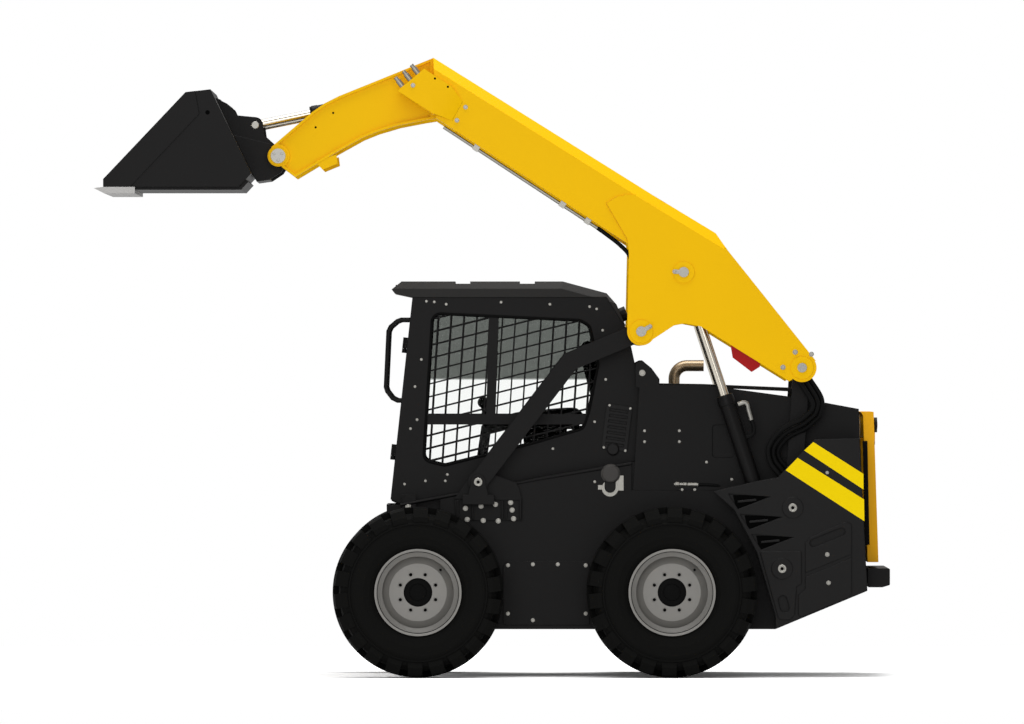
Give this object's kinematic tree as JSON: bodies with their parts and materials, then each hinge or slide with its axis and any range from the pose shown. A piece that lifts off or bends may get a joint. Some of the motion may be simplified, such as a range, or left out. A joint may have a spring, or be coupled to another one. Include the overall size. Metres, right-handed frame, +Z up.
{
  "type": "skid steer loader",
  "caption": "Skid steer loader on rubber tyres with a mesh-sided cab, a vertical-path lift arm held high, and a bucket that tilts on the arm's front legs.",
  "frame": {"origin": "centre of the outline on the ground, under the middle of the bounding box", "axes": "+X forward, +Y the machine's left, +Z up"},
  "size_m": [4.24, 1.98, 3.3039],
  "materials": {
    "black_paint": "satin black paint",
    "black_plastic": "moulded black plastic",
    "yellow_paint": "gloss yellow paint",
    "grey_paint": "satin grey paint",
    "cast_iron": "rough",
    "chrome": "polished",
    "glass": "clear",
    "seat_vinyl": "vinyl",
    "brushed_steel": "worn",
    "red_paint": "gloss red paint",
    "hose_rubber": "moulded",
    "tyre_rubber": "rubber",
    "silver_paint": "silver paint"
  },
  "bodies": {
    "chassis": {"chassis_tub": "black_paint", "frame_uprights": "black_paint", "link_brackets": "black_paint", "axle_stubs": "black_paint", "engine_block": "cast_iron", "rear_pods": "black_plastic", "rear_bumper": "black_paint", "exhaust_pipe": "chrome", "fuel_filler": "black_plastic", "cab_sides": "grey_paint", "cab_rear": "grey_paint", "cab_floor": "black_paint", "cab_roof": "grey_paint", "side_windows": "glass", "window_screens": "black_paint", "air_inlets": "black_plastic", "rear_window": "glass", "seat": "seat_vinyl", "control_towers": "black_plastic", "grab_handles": "black_paint", "work_lamps": "black_plastic"},
    "front_link": {"front_links": "black_paint"},
    "lift_arm": {"arm_left": "yellow_paint", "arm_right": "yellow_paint", "arm_cross": "yellow_paint", "aux_couplers": "brushed_steel", "pin_keepers": "brushed_steel", "arm_lock": "red_paint"},
    "rear_link": {"rear_links": "black_paint", "hydraulic_hoses": "hose_rubber"},
    "lift_barrel": {"lift_barrels": "black_paint"},
    "lift_rod": {"lift_rods": "chrome"},
    "tilt_barrel": {"tilt_barrels": "black_paint"},
    "tilt_rod": {"tilt_rods": "chrome"},
    "bucket": {"coupler": "black_paint", "bucket_shell": "black_paint", "bucket_edge": "brushed_steel"},
    "cab_door": {"door_frame": "black_paint", "door_glass": "glass"},
    "rear_door": {"rear_door": "yellow_paint", "rear_grille": "black_plastic"},
    "hood": {"hood": "black_paint"},
    "wheel_front_left": {"tyre_front_left": "tyre_rubber", "wheel_front_left": "silver_paint"},
    "wheel_front_right": {"tyre_front_right": "tyre_rubber", "wheel_front_right": "silver_paint"},
    "wheel_rear_left": {"tyre_rear_left": "tyre_rubber", "wheel_rear_left": "silver_paint"},
    "wheel_rear_right": {"tyre_rear_right": "tyre_rubber", "wheel_rear_right": "silver_paint"}
  },
  "joints": [
    {"name": "front_link_hinge", "type": "hinge", "parent": "chassis", "child": "front_link", "pos_m": [0.077, 0, 1.041], "axis": [0, 1, 0], "range_deg": [-43, 12]},
    {"name": "lift", "type": "hinge", "parent": "front_link", "child": "lift_arm", "pos_m": [-0.792, 0, 1.844], "axis": [0, -1, 0], "range_deg": [-91, 24]},
    {"name": "rear_link_hinge", "type": "hinge", "parent": "lift_arm", "child": "rear_link", "pos_m": [-1.649, 0, 1.651], "axis": [0, -1, 0], "range_deg": [-21, 75]},
    {"name": "lift_barrel_hinge", "type": "hinge", "parent": "chassis", "child": "lift_barrel", "pos_m": [-1.542, 0, 0.58], "axis": [0, -1, 0], "range_deg": [-7, 3]},
    {"name": "lift_rod_slide", "type": "slide", "parent": "lift_barrel", "child": "lift_rod", "axis": [0.3148, 0, 0.9492], "range_m": [-0.65, 0.18]},
    {"name": "tilt", "type": "hinge", "parent": "lift_arm", "child": "bucket", "pos_m": [1.145, 0, 2.781], "axis": [0, 1, 0], "range_deg": [-80, 55]},
    {"name": "tilt_barrel_hinge", "type": "hinge", "parent": "lift_arm", "child": "tilt_barrel", "pos_m": [0.466, 0, 3.112], "axis": [0, 1, 0], "range_deg": [-3, 3]},
    {"name": "tilt_rod_slide", "type": "slide", "parent": "tilt_barrel", "child": "tilt_rod", "axis": [0.9798, 0, -0.2001], "range_m": [-0.26, 0.18]},
    {"name": "cab_door_hinge", "type": "hinge", "parent": "chassis", "child": "cab_door", "pos_m": [0.55006, -0.439, 1.05808], "axis": [0.1077, 0, -0.9942], "range_deg": [0, 100]},
    {"name": "rear_door_hinge", "type": "hinge", "parent": "chassis", "child": "rear_door", "pos_m": [-2.051, -0.56, 1.015], "axis": [0, 0, 1], "range_deg": [0, 95]},
    {"name": "hood_hinge", "type": "hinge", "parent": "chassis", "child": "hood", "pos_m": [-0.839, 0, 1.567], "axis": [0, 1, 0], "range_deg": [0, 50]},
    {"name": "wheel_front_left_spin", "type": "hinge", "parent": "chassis", "child": "wheel_front_left", "pos_m": [0.397, 0.797, 0.455], "axis": [0, 1, 0], "continuous": true},
    {"name": "wheel_front_right_spin", "type": "hinge", "parent": "chassis", "child": "wheel_front_right", "pos_m": [0.397, -0.797, 0.455], "axis": [0, 1, 0], "continuous": true},
    {"name": "wheel_rear_left_spin", "type": "hinge", "parent": "chassis", "child": "wheel_rear_left", "pos_m": [-0.955, 0.797, 0.455], "axis": [0, 1, 0], "continuous": true},
    {"name": "wheel_rear_right_spin", "type": "hinge", "parent": "chassis", "child": "wheel_rear_right", "pos_m": [-0.955, -0.797, 0.455], "axis": [0, 1, 0], "continuous": true}
  ],
  "couplings": [
    {"joint": "front_link_hinge", "follows": "lift", "ratio": 0.46},
    {"joint": "rear_link_hinge", "follows": "lift", "ratio": -0.8},
    {"joint": "lift_barrel_hinge", "follows": "lift", "ratio": 0.065},
    {"joint": "lift_rod_slide", "follows": "lift", "m_per_rad": 0.395},
    {"joint": "tilt_barrel_hinge", "follows": "tilt", "ratio": 0.015},
    {"joint": "tilt_rod_slide", "follows": "tilt", "m_per_rad": 0.175}
  ]
}
